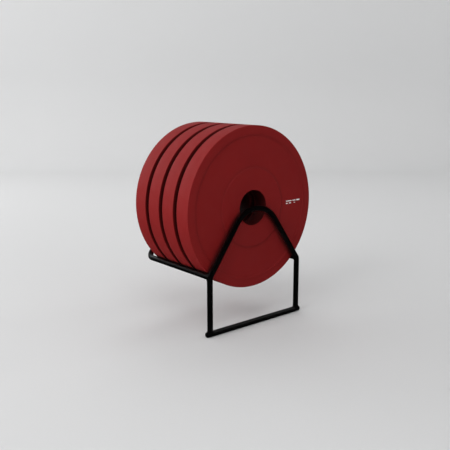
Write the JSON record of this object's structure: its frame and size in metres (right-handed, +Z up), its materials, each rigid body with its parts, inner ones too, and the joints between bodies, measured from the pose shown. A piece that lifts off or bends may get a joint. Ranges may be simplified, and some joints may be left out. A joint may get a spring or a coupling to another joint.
{
  "type": "plate storage rack",
  "caption": "Small cradle rack of bent black round bar on two front legs, holding rubber-coated disc plates on edge between two hoops; each plate lifts out.",
  "frame": {"origin": "on the floor, under the middle of the box that holds the whole rack with its plates", "axes": "+Z up, +Y towards the wall behind, +X to the right seen from the front; the plates' common axis runs along Y"},
  "size_m": [0.23, 0.1598, 0.285],
  "materials": {
    "bar_coat": "black powder coat, satin",
    "weld_coat": "black powder coat over the bead, satin",
    "jacket_rubber": "moulded red rubber, matt to satin",
    "core_iron": "as cast, not seen",
    "bore_liner": "hard red liner, satin"
  },
  "bodies": {
    "rack": {"front_hoop": "bar_coat", "rear_loop": "bar_coat", "foot_bar": "bar_coat", "wall_strap": "bar_coat", "foot_weld_left": "weld_coat", "foot_weld_right": "weld_coat", "rail_weld_left": "weld_coat", "rail_weld_right": "weld_coat", "strap_weld_left": "weld_coat", "strap_weld_right": "weld_coat"},
    "plate_1": {"plate_1_jacket": "jacket_rubber", "plate_1_core": "core_iron", "plate_1_bore_ring": "bore_liner"},
    "plate_2": {"plate_2_jacket": "jacket_rubber", "plate_2_core": "core_iron", "plate_2_bore_ring": "bore_liner"},
    "plate_3": {"plate_3_jacket": "jacket_rubber", "plate_3_core": "core_iron", "plate_3_bore_ring": "bore_liner"},
    "plate_4": {"plate_4_jacket": "jacket_rubber", "plate_4_core": "core_iron", "plate_4_bore_ring": "bore_liner"}
  },
  "joints": [
    {"name": "plate_1_lift", "type": "slide", "parent": "rack", "child": "plate_1", "axis": [0, 0, 1], "range_m": [0, 0.24]},
    {"name": "plate_2_lift", "type": "slide", "parent": "rack", "child": "plate_2", "axis": [0, 0, 1], "range_m": [0, 0.24]},
    {"name": "plate_3_lift", "type": "slide", "parent": "rack", "child": "plate_3", "axis": [0, 0, 1], "range_m": [0, 0.24]},
    {"name": "plate_4_lift", "type": "slide", "parent": "rack", "child": "plate_4", "axis": [0, 0, 1], "range_m": [0, 0.24]}
  ]
}
